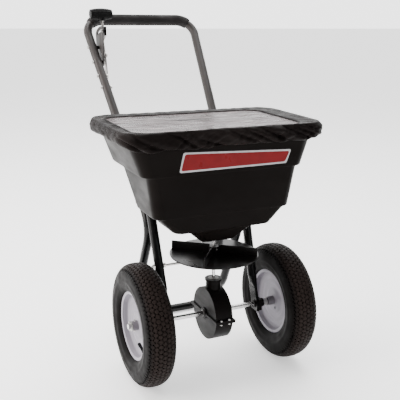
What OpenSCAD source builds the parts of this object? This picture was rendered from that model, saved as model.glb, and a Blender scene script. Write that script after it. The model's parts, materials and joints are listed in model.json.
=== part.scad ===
// Push broadcast spreader: hopper on a bent tube frame, two pneumatic wheels,
// a spinning plate driven from the axle, and a shut-off gate worked by a hand lever.
// Millimetres. X along the axle, Y to the rear (handle side), Z up, origin on the ground
// under the middle of the axle.

/* [Wheels] */
// Outside diameter of the tyres
tyre_d = 330; // [326:1:334]
// Width of the tyres
tyre_w = 80; // [76:1:84]
// Distance between the tyre centre planes
track = 416; // [412:1:424]
// Diameter of the axle
axle_d = 14; // [13.5:0.1:14.5]

/* [Frame] */
// Outside diameter of the frame tubes
tube_d = 25.4; // [24:0.2:26]
// Height of the handle's crossbar
bar_z = 936; // [900:1:960]
// Distance of the crossbar behind the axle
bar_y = 571; // [560:1:580]
// Width of the handle between tube centres, at the crossbar
handle_w = 366; // [350:1:370]
// Outside diameter of the foam grip
grip_d = 34; // [32:0.5:38]
// Distance of the stand's ground bar behind the axle
stand_y = 368; // [350:1:385]

/* [Hopper] */
// Height of the hopper's rim
rim_z = 690; // [684:1:694]
// Width of the hopper at the rim
rim_w = 544; // [536:2:548]
// Wall thickness of the hopper
wall = 4; // [3:0.5:5]
// Height of the underside of the outlet
outlet_z = 384; // [383:0.5:385]

/* [Cover] */
// Thickness of the cover fabric
cover_t = 2; // [1.5:0.1:2.5]
// Depth of the cover's skirt below its top
skirt_h = 38; // [30:1:42]

/* [Spinner] */
// Diameter of the spinning plate
plate_d = 241; // [230:1:244]
// Height of the spinning plate
plate_z = 338; // [336:0.5:339]
// Height of the vanes on the plate
vane_h = 24.5; // [22:0.5:27]
// Diameter of the vertical shaft
shaft_d = 8.5; // [8:0.1:9]

/* [Gearbox] */
// Outside diameter of the gearbox housing
box_d = 146; // [144:1:150]
// Width of the gearbox housing
box_w = 50; // [50:1:54]
// Gear module
gear_m = 2; // [2:0.5:2]
// Teeth on the axle gear
axle_teeth = 60; // [60:1:60]
// Teeth on the pinion
pinion_teeth = 12; // [12:1:12]

/* [Shut-off] */
// Travel of the shut-off gate
gate_travel = 34; // [30:1:34]
// Length of the hand lever from its pivot to the T-grip
lever_len = 133; // [126:1:136]
// Width of the T-grip
t_grip_w = 67; // [62:1:70]

/* [Hidden] */

$fn = 64;
eps = 0.01;
fit = 0.05;
lap = 0.5;
swell = 0.016;
axle_r = axle_d / 2;
axle_z = tyre_d / 2;
wheel_x = track / 2;
tube_r = tube_d / 2;
bore_r = tube_r - 1.8;
shaft_r = shaft_d / 2;

// Frame: the handle leans back, and its legs spread a little towards the crossbar
handle_slope = 0.8426;
handle_spread = 0.0953;
joint_z = 600;
swage_len = 50;
swage_r = bore_r - fit;
knee = [142, 110, 390];
shin = [144, 222, 150];
knee_r = 80;
foot_r = 60;
leg_top_z = 510;
leg_lean = 0.3655;
leg_spread = 0.0287;
leg_foot_x = 136;
rod_z = 302;

// Gears: crown gear on the axle, pinion on the shaft
gear_r = gear_m * axle_teeth / 2;
pinion_r = gear_m * pinion_teeth / 2;
mesh_z = axle_z + gear_r;
tooth_t = 2.3;
face_w = 8;

// Gearbox
box_r = box_d / 2;
box_wall = 3;
neck_r = 20.5;
neck_top_z = 265;

// Hopper outlet and gate
port_r = 9;
port_ring = 27;
gate_t = 2;
gate_z = outlet_z - 3;
gate_front = 5;
ear_y = 84;
ear_x = -34;
ear_z = gate_z + 15;

// Hand lever: leans back with the handle, and its tail swings through bottom centre
pivot = [-147, 474, 834];
lever_lean = 25.8;
tail_len = 66;
lever_swing = 2 * asin(gate_travel / 2 / tail_len);
slot_r = 72;
slot_ends = [-6, 30];
grip_offset_x = 8;
gauge_bolt_z = [856, 814];
tube_bolt_z = [776, 745];

function unit(v) = v / norm(v);
function mirrored(p) = [-p[0], p[1], p[2]];
function handle_y(z) = bar_y + (z - bar_z) * handle_slope;
function handle_x(z) = handle_w / 2 + (z - bar_z) * handle_spread;
function handle_at(z) = [handle_x(z), handle_y(z), z];
function leg_front_y(z) = (z - axle_z) * leg_lean - tube_r * norm([1, leg_lean]);
function leg_at(z) = [leg_foot_x + (z - axle_z) * leg_spread, (z - axle_z) * leg_lean, z];
function turn(a, b, c) = acos(unit(b - a) * unit(c - b));
function arc(cx, cy, r, from, to, n) =
    [for (i = [0:n]) let (a = from + (to - from) * i / n) [cx + r * cos(a), cy + r * sin(a)]];

// Places its children with their x and y axes along two given directions
module framed(origin, x, y) {
    z = cross(x, y);
    multmatrix([[x[0], y[0], z[0], origin[0]],
                [x[1], y[1], z[1], origin[1]],
                [x[2], y[2], z[2], origin[2]],
                [0, 0, 0, 1]]) children();
}

// Round bar from a to b
module rod(a, b, r) {
    d = unit(b - a);
    side = abs(d[2]) < 0.9 ? unit(cross([0, 0, 1], d)) : unit(cross([1, 0, 0], d));
    framed(a, side, cross(d, side)) cylinder(r = r, h = norm(b - a));
}

// Round bend at b between the directions a-b and b-c
module bend(a, b, c, bend_r, r) {
    u = unit(b - a);
    v = unit(c - b);
    t = turn(a, b, c);
    start = b - u * bend_r * tan(t / 2);
    inward = unit(v - u * (u * v));
    framed(start + inward * bend_r, -inward, u)
        rotate_extrude(angle = t) translate([bend_r, 0]) circle(r = r * (1 + swell));
}

// Bent bar through a list of points, with a bend radius at each inner point. Its straights
// run a little way into the bends, which are slightly thicker
module bent_bar(points, radii, r) {
    last = len(points) - 1;
    cut = [for (i = [0:last]) (i == 0 || i == last) ? 0
        : radii[i - 1] * tan(turn(points[i - 1], points[i], points[i + 1]) / 2)];
    for (i = [0:last - 1]) {
        d = unit(points[i + 1] - points[i]);
        from = i == 0 ? 0 : cut[i] - lap;
        to = i == last - 1 ? 0 : cut[i + 1] - lap;
        rod(points[i] + d * from, points[i + 1] - d * to, r);
    }
    for (i = [1:last - 1])
        bend(points[i - 1], points[i], points[i + 1], radii[i - 1], r);
}

// Ring about the X axis: a section whose first coordinate is radius and second is x
module ring_x(x, z) {
    translate([x, 0, z]) rotate([90, 0, 90]) rotate_extrude() children();
}

module bar_x(x1, x2, y, z, r) {
    translate([x1, y, z]) rotate([0, 90, 0]) cylinder(r = r, h = x2 - x1);
}

// Bolt along X with a hexagon head at x1 and a nut at x2
module bolt_x(x1, x2, y, z, r) {
    bar_x(min(x1, x2), max(x1, x2), y, z, r);
    for (end = [x1, x2])
        translate([end, y, z]) rotate([0, 90, 0])
            cylinder(r = r * 1.9, h = r * 1.4, center = true, $fn = 6);
}

// ---------------------------------------------------------------- frame

handle_points = [handle_at(joint_z + 1), handle_at(bar_z),
    mirrored(handle_at(bar_z)), mirrored(handle_at(joint_z + 1))];
handle_bend_r = 53.5;

module handle_tube() {
    below = handle_at(joint_z - 2);
    bore_points = [below, handle_at(bar_z), mirrored(handle_at(bar_z)), mirrored(below)];
    color("#5a5552") difference() {
        bent_bar(handle_points, [handle_bend_r, handle_bend_r], tube_r);
        bent_bar(bore_points, [handle_bend_r, handle_bend_r], bore_r);
        for (side = [1, -1]) scale_x(side) handle_bolt_holes();
        for (z = concat(gauge_bolt_z, tube_bolt_z))
            bar_x(-handle_x(z) - 20, -handle_x(z) + 20, handle_y(z), z, 3.1);
    }
}

module scale_x(side) {
    if (side > 0) children();
    else mirror([1, 0, 0]) children();
}

module handle_bolt_holes() {
    for (z = [joint_z + 16, joint_z + 38])
        bar_x(handle_x(z) - 20, handle_x(z) + 20, handle_y(z), z, 3.1);
}

module handle_bolts() {
    color("silver") for (side = [1, -1], z = [joint_z + 16, joint_z + 38])
        scale_x(side) bolt_x(handle_x(z) - tube_r - 2.5, handle_x(z) + tube_r + 2.5, handle_y(z), z, 3);
}

grip_turn = 45;

module foam_grip() {
    a = handle_at(joint_z);
    b = handle_at(bar_z);
    c = mirrored(b);
    t = turn(a, b, c);
    reach = handle_bend_r * tan(t / 2);
    v = unit(c - b);
    u = unit(b - a);
    inward = unit(v - u * (u * v));
    start = b - u * reach;
    color("#1c1a19") difference() {
        union() {
            rod(b + v * (reach - lap), c - v * (reach - lap), grip_d / 2);
            for (side = [1, -1]) scale_x(side)
                framed(start + inward * handle_bend_r, -inward, u)
                    rotate([0, 0, t - grip_turn]) rotate_extrude(angle = grip_turn)
                        translate([handle_bend_r, 0]) circle(r = grip_d / 2 * (1 + swell));
        }
        bent_bar(handle_points, [handle_bend_r, handle_bend_r], tube_r + fit);
    }
}

ground_corner = [150, stand_y, tube_r];
stand_half = [handle_at(joint_z), knee, shin, ground_corner];
stand_points = concat(stand_half, [for (i = [3:-1:0]) mirrored(stand_half[i])]);
stand_radii = [knee_r, 100, foot_r, foot_r, 100, knee_r];

// The tube's upper ends are pressed down to slide into the handle
module stand_tube() {
    top = handle_at(joint_z);
    d = unit(handle_at(bar_z) - top);
    shoulder = top - d * 6;
    bore_points = concat([shoulder], [for (i = [1:6]) stand_points[i]], [mirrored(shoulder)]);
    color("#161514") difference() {
        union() {
            bent_bar(stand_points, stand_radii, tube_r);
            for (side = [1, -1]) scale_x(side) rod(top - d, top + d * swage_len, swage_r);
        }
        bent_bar(bore_points, stand_radii, bore_r);
        for (side = [1, -1]) scale_x(side) {
            rod(shoulder - d, top + d * (swage_len + 1), swage_r - 1.8);
            handle_bolt_holes();
            gusset_holes(stand_y_at(gusset_z));
        }
    }
}

// Closed oval round the leg's line at height z; a small power squares it off
function oval(z, half_x, half_y, power) = [for (a = [0:10:350])
    leg_at(z) + [half_x * signed_pow(cos(a), power), half_y * signed_pow(sin(a), power), 0]];

foot_top_z = 212;
foot_bottom_z = 147;
foot_t = 8;
foot_w = 34;

// Tube from the axle to the hopper's back, its lower end pressed flat
module axle_leg(side) {
    top = leg_at(leg_top_z);
    start = leg_at(foot_top_z + 28);
    d = unit(top - start);
    color("#141312") scale_x(side) difference() {
        union() {
            rod(start, top, tube_r);
            skin([oval(foot_top_z - 1, foot_t / 2, foot_w / 2, 0.35), oval(foot_top_z + 12, 8, 16, 0.7),
                oval(foot_top_z + 36, tube_r - 0.05, tube_r * 1.06, 1)]);
            translate([leg_foot_x, 0, 0]) rotate([0, -90, 0])
                linear_extrude(foot_t, center = true) polygon([
                    [foot_bottom_z, -foot_w / 2], [axle_z, -foot_w / 2],
                    [foot_top_z, leg_at(foot_top_z)[1] - foot_w / 2],
                    [foot_top_z, leg_at(foot_top_z)[1] + foot_w / 2],
                    [axle_z, foot_w / 2], [foot_bottom_z, foot_w / 2]]);
        }
        rod(start + d * 4, top + d, bore_r);
        bar_x(leg_foot_x - 20, leg_foot_x + 20, 0, axle_z, 11 + fit);
        bar_x(leg_foot_x - 40, leg_foot_x + 40, leg_at(rod_z)[1], rod_z, 3.6);
        gusset_holes(leg_at(gusset_z)[1]);
        hopper_bolt_holes();
    }
}

module axle_leg_left() axle_leg(-1);
module axle_leg_right() axle_leg(1);

gusset_t = 3;
gusset_z = 455;

// Where the straight upper part of the stand tube is at height z
function stand_y_at(z) = knee[1] + (z - knee[2]) * (handle_y(joint_z) - knee[1]) / (joint_z - knee[2]);

module gusset_holes(y) {
    bar_x(leg_foot_x - 40, leg_foot_x + 40, y, gusset_z, 3.1);
}

// Plates bolted to the inner sides of the legs and the stand tube
module gussets() {
    x = leg_at(gusset_z)[0] - tube_r - gusset_t - 2.2;
    leg_y = leg_at(gusset_z)[1];
    back_y = stand_y_at(gusset_z);
    color("#1b1a19") for (side = [1, -1]) scale_x(side) difference() {
        translate([x, 0, 0]) rotate([90, 0, 90]) linear_extrude(gusset_t) polygon([
            [leg_y - 12, gusset_z - 24], [back_y + 12, gusset_z - 24],
            [back_y + 30, gusset_z + 18], [leg_y + 4, gusset_z + 18]]);
        gusset_holes(leg_y);
        gusset_holes(back_y);
    }
}

module frame_bolts() {
    x = leg_at(gusset_z)[0];
    color("silver") for (side = [1, -1], y = [leg_at(gusset_z)[1], stand_y_at(gusset_z)])
        scale_x(side) bolt_x(x - tube_r - 8.5, x + tube_r + 4.5, y, gusset_z, 3);
}

module cross_rod() {
    x = leg_at(rod_z)[0] + tube_r + 9;
    color("#8c8c8a") bar_x(-x, x, leg_at(rod_z)[1], rod_z, 3.5);
}

module cross_rod_nuts() {
    y = leg_at(rod_z)[1];
    x = leg_at(rod_z)[0];
    color("silver") for (side = [1, -1], at = [x - tube_r - 3.2, x + tube_r + 3.2])
        scale_x(side) translate([at, y, rod_z]) rotate([0, 90, 0]) difference() {
            cylinder(r = 6.8, h = 5, center = true, $fn = 6);
            cylinder(r = 3.5 + fit, h = 6, center = true);
        }
}

// ---------------------------------------------------------------- hopper

// Rounded rectangle at height z, from -half_x to half_x and front to back
function level(z, half_x, front, back, r) = [for (p = concat(
    arc(half_x - r, back - r, r, 0, 90, 6), arc(-half_x + r, back - r, r, 90, 180, 6),
    arc(-half_x + r, front + r, r, 180, 270, 6), arc(half_x - r, front + r, r, 270, 360, 6)))
    [p[0], p[1], z]];

// Closed skin over a stack of levels that all have the same number of points
module skin(levels) {
    n = len(levels[0]);
    top = len(levels) - 1;
    polyhedron(
        points = [for (l = levels) for (p = l) p],
        faces = concat([[for (i = [0:n - 1]) i]], [[for (i = [n - 1:-1:0]) top * n + i]],
            [for (l = [0:top - 1]) for (i = [0:n - 1])
                [l * n + i, (l + 1) * n + (i + 1) % n, l * n + (i + 1) % n]],
            [for (l = [0:top - 1]) for (i = [0:n - 1])
                [l * n + i, (l + 1) * n + i, (l + 1) * n + (i + 1) % n]]),
        convexity = 4);
}

rim_half = rim_w / 2;
funnel_z = 421;
step_low_z = 467;
step_high_z = 577;
lip_h = 14;
hopper_bolt_z = [478, 496];
hopper_bolt_r = 1.9;
hopper_bolt_head = 4.2;

// Hopper levels from the outlet to the rim, pulled in by t on every side
function hopper_levels(t, low, top) = [
    level(low, 50 - t, -34 + t, 46 - t, 20),
    level(funnel_z + t, 92 - t, -54 + t, 52 - t, 24),
    level(funnel_z + t + eps, 138 - t, -60 + t, 56 - t, 16),
    level(step_low_z + t, 182 - t, -62 + t, 72 - t, 20),
    level(step_low_z + t + eps, 195 - t, -64 + t, 82 - t, 22),
    level(step_high_z + t, 213 - t, -68 + t, 150 - t, 24),
    level(step_high_z + t + eps, 227 - t, -71 + t, 188 - t, 26),
    level(top, rim_half - 9 - t, -74 + t, 208 - t, 40)];

module hopper() {
    lip_z = rim_z - lip_h;
    color("#191716") difference() {
        union() {
            skin(hopper_levels(0, outlet_z, lip_z));
            skin([level(lip_z - eps, rim_half, -84, 218, 48), level(rim_z, rim_half, -84, 218, 48)]);
        }
        skin(hopper_levels(wall, outlet_z + wall, rim_z + 1));
        translate([0, 0, outlet_z - 1]) cylinder(r = 10 + fit, h = wall + 2);
        gate_ports(outlet_z - 1, wall + 2);
        guide_screws_at(outlet_z - 1) cylinder(r = 1.6, h = wall + 4);
        for (side = [1, -1]) scale_x(side) hopper_bolt_holes();
    }
}

module hopper_bolt_holes() {
    for (z = hopper_bolt_z)
        translate([leg_at(z)[0], 50, z]) rotate([-90, 0, 0]) cylinder(r = hopper_bolt_r + fit, h = 110);
}

// Three round outlets behind the shaft
module gate_ports(z, h) {
    for (angle = [45, 90, 135])
        translate([port_ring * cos(angle), port_ring * sin(angle), z]) cylinder(r = port_r, h = h);
}

// Back face of the hopper's middle block at height z
function back_face(z) = 82 + (z - step_low_z) * (150 - 82) / (step_high_z - step_low_z);

module hopper_bolts() {
    color("silver") for (side = [1, -1], z = hopper_bolt_z) scale_x(side)
        translate([leg_at(z)[0], 0, z]) rotate([-90, 0, 0]) {
            inside = back_face(z) - 13;
            outside = leg_at(z)[1] + tube_r + 8;
            translate([0, 0, inside]) cylinder(r = hopper_bolt_r, h = outside - inside);
            translate([0, 0, inside - 1]) cylinder(r = hopper_bolt_head, h = 4, $fn = 6);
            translate([0, 0, outside - 4]) cylinder(r = hopper_bolt_head, h = 4, $fn = 6);
        }
}

module hopper_spacers() {
    color("#222120") for (side = [1, -1], z = hopper_bolt_z) scale_x(side)
        translate([leg_at(z)[0], back_face(z) + 3.3, z]) rotate([-90, 0, 0]) difference() {
            cylinder(r = 5, h = leg_front_y(z) - 5 * leg_lean - back_face(z) - 3.8);
            translate([0, 0, -1]) cylinder(r = hopper_bolt_r + fit, h = 40);
        }
}

module shaft_bushing() {
    color("#d8d4cc") difference() {
        union() {
            translate([0, 0, outlet_z - 0.5]) cylinder(r = 10, h = wall + 4);
            translate([0, 0, outlet_z + wall + fit]) cylinder(r = 14, h = 3);
        }
        translate([0, 0, outlet_z - 2]) cylinder(r = shaft_r + fit, h = 20);
    }
}

guide_half = 42;
guide_z = gate_z - 3;
guide_front = -16;
guide_len = 72;
guide_rail = 6;

// Channel under the hopper that holds the sliding gate
module gate_guide() {
    color("#2a2928") difference() {
        union() {
            translate([-guide_half, guide_front, guide_z]) cube([2 * guide_half, guide_len, 2.5]);
            for (side = [1, -1]) scale_x(side)
                translate([guide_half - guide_rail, guide_front, guide_z])
                    cube([guide_rail, guide_len, outlet_z - guide_z - fit]);
        }
        translate([0, 0, guide_z - 1]) cylinder(r = shaft_r + 2, h = 5);
        gate_ports(guide_z - 1, 5);
        guide_screws_at(guide_z - 1) cylinder(r = 1.6, h = 12);
    }
}

module guide_screws_at(z) {
    for (x = [-1, 1], y = [-6, 22]) translate([x * (guide_half - guide_rail / 2), y, z]) children();
}

module gate_guide_screws() {
    color("silver") guide_screws_at(guide_z - 2.2) {
        cylinder(r = 1.5, h = outlet_z - guide_z + wall + 3);
        cylinder(r = 2.9, h = 2.1);
    }
}

gate_half = guide_half - guide_rail - 0.4;

// Plate that slides back from under the outlets, with an ear for the rod
module gate_plate() {
    color("#9a9a98") difference() {
        union() {
            translate([-gate_half, gate_front, gate_z]) cube([2 * gate_half, 55, gate_t]);
            translate([-gate_half, 50, gate_z]) cube([18, ear_y - 40, gate_t]);
            translate([ear_x - 1, ear_y - 8, gate_z]) cube([2, 18, 23]);
        }
        translate([ear_x, ear_y, ear_z]) cube([6, 5.6, 12.5], center = true);
    }
}

// ---------------------------------------------------------------- cover

cover_gap = 2;
cover_top = rim_z + cover_gap + cover_t;
window_x = [-236, 214];
window_y = [-70, 178];

// Fabric cover over the hopper's rim: a shallow cap with a window in its top
module cover_band() {
    half = rim_half + cover_gap + cover_t;
    color("#2e2b2a") difference() {
        skin([
            level(cover_top - skirt_h, half + 6, -92, 226, 54),
            level(cover_top - 12, half + 8, -94, 228, 56),
            level(cover_top, half - 2, -86, 220, 50)]);
        skin([
            level(cover_top - skirt_h - 1, half - cover_t, -86, 220, 50),
            level(cover_top - cover_t, half - cover_t, -86, 220, 50)]);
        window_opening(0);
    }
}

// Opening for the window, pulled in by t
module window_opening(t) {
    translate([window_x[0] + t, window_y[0] + t, cover_top - cover_t - 1])
        cube([window_x[1] - window_x[0] - 2 * t, window_y[1] - window_y[0] - 2 * t, cover_t + 2]);
}

// Clear panel sewn under the edge of the opening
module cover_window() {
    color("#cfc4c4") translate([window_x[0] - 8, window_y[0] - 8, cover_top - cover_t - 1.05])
        cube([window_x[1] - window_x[0] + 16, window_y[1] - window_y[0] + 16, 1]);
}

// ---------------------------------------------------------------- wheels

rim_r = 86;
flange_r = 92;
rim_half_w = 28;
section_mid = (tyre_d / 2 + rim_r) / 2;
section_h = (tyre_d / 2 - rim_r) / 2 + 1.5;

function signed_pow(v, p) = (v < 0 ? -1 : 1) * pow(abs(v), p);
// Squarish oval from one bead round the tread to the other
function tyre_line(inset, bead) = [for (a = [-bead:6:bead]) [
    section_mid - 1.5 + (section_h - inset) * signed_pow(cos(a), 0.8),
    (tyre_w / 2 - inset) * signed_pow(sin(a), 0.8)]];

module tyre(side) {
    outer = tyre_line(0, 150);
    inner = tyre_line(7, 144);
    color("#1d1a18") ring_x(side * wheel_x, axle_z) difference() {
        polygon(concat(outer, [for (i = [len(inner) - 1:-1:0]) inner[i]]));
        for (x = [25.7, -45.7]) translate([0, x]) square([flange_r + 0.4, 20]);
    }
}

module tyre_left() tyre(-1);
module tyre_right() tyre(1);

stem_angle = 130;
stem_tilt = 12;
stem_foot_x = 11.6;
stem_foot_r = 112;
stem_len = 62;
stem_tip = 24;
stem_r = 3.85;
stem_base_r = 4.2;

// Soft tube inside the tyre, with its filling stem through the rim
module inner_tube(side) {
    color("#121212") union() {
        ring_x(side * wheel_x, axle_z) translate([section_mid + 1, 0]) circle(r = 25);
        stem(side) cylinder(r = stem_base_r, h = stem_len - stem_tip);
        stem(side) cylinder(r = stem_r, h = stem_len);
    }
}

// Puts the stem's foot in the tube and points it at the hub, leaning outwards
module stem(side) {
    translate([side * wheel_x, 0, axle_z]) rotate([stem_angle, 0, 0])
        translate([side * stem_foot_x, 0, stem_foot_r]) rotate([180, 0, 0])
            rotate([0, side * stem_tilt, 0]) children();
}

module inner_tube_left() inner_tube(-1);
module inner_tube_right() inner_tube(1);

module rim(side) {
    half = [[flange_r, rim_half_w], [flange_r, 26], [85.8, 26], [85.4, 11], [77, 6]];
    back = [[75, 5], [83.4, 10], [83.8, rim_half_w]];
    color("#d9d7d6") difference() {
        ring_x(side * wheel_x, axle_z) polygon(concat(
            half, [for (i = [4:-1:0]) [half[i][0], -half[i][1]]],
            [for (i = [2:-1:0]) [back[i][0], -back[i][1]]], back));
        stem(side) translate([0, 0, -5]) cylinder(r = stem_base_r + 0.4, h = 60);
    }
}

module rim_left() rim(-1);
module rim_right() rim(1);

// Stamped disc between the rim and the hub; out is 1 or -1 for the way it faces
module wheel_disc(side, out) {
    color("#dddbda") translate([side * wheel_x, 0, axle_z]) rotate([0, out * 90, 0])
        rotate_extrude() polygon([
            [83.2, 13], [66, 13], [63, 10], [36, 10], [32, 14], [13 + fit, 14],
            [13 + fit, 11.6], [30.6, 11.6], [34.6, 7.6], [64, 7.6], [67, 10.6], [83.2, 10.6]]);
}

module disc_left_outer() wheel_disc(-1, -1);
module disc_left_inner() wheel_disc(-1, 1);
module disc_right_outer() wheel_disc(1, 1);
module disc_right_inner() wheel_disc(1, -1);

hub_in = 34;
hub_out = 28;
pin_x = wheel_x + 22;

module hub_left() {
    color("#b9b7b4") difference() {
        bar_x(-wheel_x - hub_out, -wheel_x + hub_in, 0, axle_z, 13);
        bar_x(-wheel_x - 60, -wheel_x + 60, 0, axle_z, axle_r + fit);
        translate([-pin_x, 0, axle_z]) cylinder(r = 2.6, h = 60, center = true);
    }
}

module drive_pin() {
    color("silver") translate([-pin_x, 0, axle_z]) cylinder(r = 2.5, h = 34, center = true);
}

bush_r = axle_r + 3;

module hub_right() {
    color("#b9b7b4") difference() {
        bar_x(wheel_x - hub_in, wheel_x + hub_out, 0, axle_z, 13);
        bar_x(wheel_x - 60, wheel_x + 60, 0, axle_z, bush_r + fit);
    }
}

module hub_bushings() {
    color("#222222") for (start = [wheel_x - hub_in - 2, wheel_x + hub_out - 16])
        difference() {
            bar_x(start, start + 18, 0, axle_z, bush_r);
            bar_x(start - 1, start + 19, 0, axle_z, axle_r + fit);
        }
}

axle_half = wheel_x + hub_out + 12;

module axle() {
    color("#c9c9c9") difference() {
        bar_x(-axle_half, axle_half, 0, axle_z, axle_r);
        translate([-pin_x, 0, axle_z]) cylinder(r = 2.6, h = 60, center = true);
        for (side = [-1, 1])
            translate([side * (axle_half - 4), 0, axle_z]) cylinder(r = 1.7, h = 60, center = true);
        gear_pin_at() cylinder(r = 2.1, h = 60, center = true);
    }
}

module axle_washers() {
    color("silver") for (x = [-axle_half + 7, axle_half - 8.6]) difference() {
        bar_x(x, x + 1.6, 0, axle_z, 13);
        bar_x(x - 1, x + 3, 0, axle_z, axle_r + fit);
    }
}

module cotter_pins() {
    color("silver") for (x = [-1, 1]) translate([x * (axle_half - 4), 0, axle_z]) {
        cylinder(r = 1.6, h = 24, center = true);
        translate([0, 0, 12]) sphere(r = 3);
    }
}

bearing_out = leg_foot_x + foot_t / 2 + 18;

module axle_spacers() {
    color("#a8a8a6") for (side = [1, -1]) scale_x(side) difference() {
        bar_x(bearing_out + 0.4, wheel_x - hub_in - 2.4, 0, axle_z, axle_r + 2.5);
        bar_x(bearing_out - 1, wheel_x, 0, axle_z, axle_r + fit);
    }
}

// Black block and collar that carry the axle at each leg
module leg_bearing(side) {
    face = leg_foot_x + foot_t / 2;
    color("#0f0f0f") scale_x(side) difference() {
        union() {
            bar_x(face - foot_t - 3, face + 1, 0, axle_z, 11);
            translate([face + fit, -15, axle_z - 17]) cube([9, 30, 32]);
            bar_x(face + 8, bearing_out, 0, axle_z, 12.5);
        }
        bar_x(face - 20, bearing_out + 1, 0, axle_z, axle_r + fit);
    }
}

module leg_bearing_left() leg_bearing(-1);
module leg_bearing_right() leg_bearing(1);

// ---------------------------------------------------------------- gearbox

// Housing, flange and neck as one outline; the two halves are cut from it
module box_outer(lower) {
    bar_x(-box_w / 2, box_w / 2, 0, axle_z, box_r);
    translate([-box_w / 2 - 4, -box_r - 8.5, axle_z - (lower ? 4 : 0)])
        cube([box_w + 8, 2 * box_r + 17, 4]);
    bar_x(-box_w / 2 - 4, box_w / 2 + 4, 0, axle_z, 16);
}

module box_inner() {
    bar_x(-box_w / 2 + box_wall, box_w / 2 - box_wall, 0, axle_z, box_r - box_wall);
    bar_x(-60, 60, 0, axle_z, 10 + fit);
    box_screws_at() cylinder(r = 1.7, h = 30, center = true);
}

module box_screws_at() {
    for (x = [-12, 12], y = [-1, 1]) translate([x, y * (box_r + 4.4), axle_z]) children();
}

module gearbox_upper() {
    color("#171615") difference() {
        union() {
            difference() {
                box_outer(false);
                translate([-100, -100, axle_z - 200]) cube([200, 200, 200]);
            }
            translate([0, 0, axle_z + box_r - 8])
                cylinder(r = neck_r, h = neck_top_z - axle_z - box_r + 8);
            translate([0, 0, neck_top_z - 5]) cylinder(r = neck_r + 3, h = 5);
        }
        box_inner();
        translate([0, 0, axle_z + 40]) cylinder(r = 9 + fit, h = 200);
        translate([0, 0, neck_top_z - 4]) cylinder(r = 15, h = 10);
    }
}

module gearbox_lower() {
    color("#141312") difference() {
        box_outer(true);
        translate([-100, -100, axle_z - fit]) cube([200, 200, 200]);
        box_inner();
    }
}

module gearbox_screws() {
    color("silver") box_screws_at() {
        translate([0, 0, -7]) cylinder(r = 1.6, h = 14);
        translate([0, 0, 4.1]) cylinder(r = 3.4, h = 3);
        translate([0, 0, -7.1]) cylinder(r = 3.4, h = 3, $fn = 6);
    }
}

module neck_bushing() {
    color("#d8d4cc") difference() {
        union() {
            translate([0, 0, axle_z + box_r + 2]) cylinder(r = 9, h = neck_top_z - axle_z - box_r - 4);
            translate([0, 0, neck_top_z - 3.9]) cylinder(r = 14.5, h = 4.5);
        }
        translate([0, 0, axle_z]) cylinder(r = shaft_r + fit, h = 200);
    }
}

module gearbox_bushings() {
    color("#d8d4cc") for (side = [1, -1]) scale_x(side) difference() {
        bar_x(box_w / 2 - 3, box_w / 2 + 6, 0, axle_z, 10);
        bar_x(box_w / 2 - 5, box_w / 2 + 8, 0, axle_z, axle_r + fit);
    }
}

// Straight-sided tooth outline, h high from root to tip
module tooth(t, root, tip) {
    slope = 0.36;
    polygon([[-t / 2 - root * slope, -root - 0.5], [t / 2 + root * slope, -root - 0.5],
        [t / 2 - tip * slope, tip], [-t / 2 + tip * slope, tip]]);
}

gear_back_x = pinion_r + gear_m * 1.25;

// Crown gear: a disc with teeth on the face that looks at the shaft
module axle_gear() {
    color("#c8c2b4") difference() {
        union() {
            bar_x(gear_back_x, gear_back_x + 3.5, 0, axle_z, gear_r + face_w / 2);
            bar_x(-6, gear_back_x + 3.5, 0, axle_z, axle_r + 6);
            for (i = [0:axle_teeth - 1]) translate([0, 0, axle_z]) rotate([i * 360 / axle_teeth, 0, 0])
                translate([pinion_r, 0, gear_r - face_w / 2]) rotate([0, 0, 90])
                    linear_extrude(face_w) tooth(tooth_t, gear_m * 1.25, gear_m * 0.9);
        }
        bar_x(-20, 60, 0, axle_z, axle_r + fit);
        gear_pin_at() cylinder(r = 2.1, h = 60, center = true);
    }
}

module gear_pin_at() {
    translate([3, 0, axle_z]) rotate([90, 0, 0]) children();
}

module gear_pin() {
    color("silver") gear_pin_at() cylinder(r = 2, h = 25, center = true);
}

module pinion() {
    root_r = pinion_r - gear_m * 1.25;
    color("#c8c2b4") translate([0, 0, mesh_z - face_w / 2]) difference() {
        union() {
            linear_extrude(face_w) circle(r = root_r);
            for (i = [0:pinion_teeth - 1]) rotate([0, 0, (i + 0.5) * 360 / pinion_teeth])
                linear_extrude(face_w) translate([pinion_r, 0]) rotate([0, 0, -90])
                    tooth(tooth_t, gear_m * 1.25, gear_m * 0.9);
        }
        translate([0, 0, -1]) cylinder(r = shaft_r + fit / 2, h = 20);
    }
}

// ---------------------------------------------------------------- spinner

shaft_top_z = outlet_z + 36;

module impeller_shaft() {
    color("#c4c4c4") difference() {
        translate([0, 0, mesh_z - face_w / 2 - 3])
            cylinder(r = shaft_r, h = shaft_top_z - mesh_z + face_w / 2 + 3);
        translate([0, 0, plate_z + 14]) rotate([90, 0, 0]) cylinder(r = 2.1, h = 40, center = true);
        translate([0, 0, shaft_top_z - 10]) rotate([90, 0, 0]) cylinder(r = 2.1, h = 40, center = true);
    }
}

vane_t = 3;
vane_angle = 52;
vane_tip_r = plate_d / 2 - 2;

module impeller() {
    color("#0e0e0f") difference() {
        union() {
            translate([0, 0, plate_z - 3]) cylinder(r = plate_d / 2, h = 3);
            translate([0, 0, plate_z - 9]) cylinder(r = 14, h = 29);
            for (angle = [vane_angle:90:vane_angle + 270]) rotate([0, 0, angle])
                translate([12, -vane_t / 2, plate_z - eps])
                cube([vane_tip_r - 12, vane_t, vane_h]);
        }
        translate([0, 0, plate_z - 20]) cylinder(r = shaft_r + fit / 2, h = 80);
        translate([0, 0, plate_z + 14]) rotate([90, 0, 0]) cylinder(r = 2.1, h = 40, center = true);
    }
}

module impeller_pin() {
    color("silver") translate([0, 0, plate_z + 14]) rotate([90, 0, 0])
        cylinder(r = 2, h = 34, center = true);
}

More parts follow.
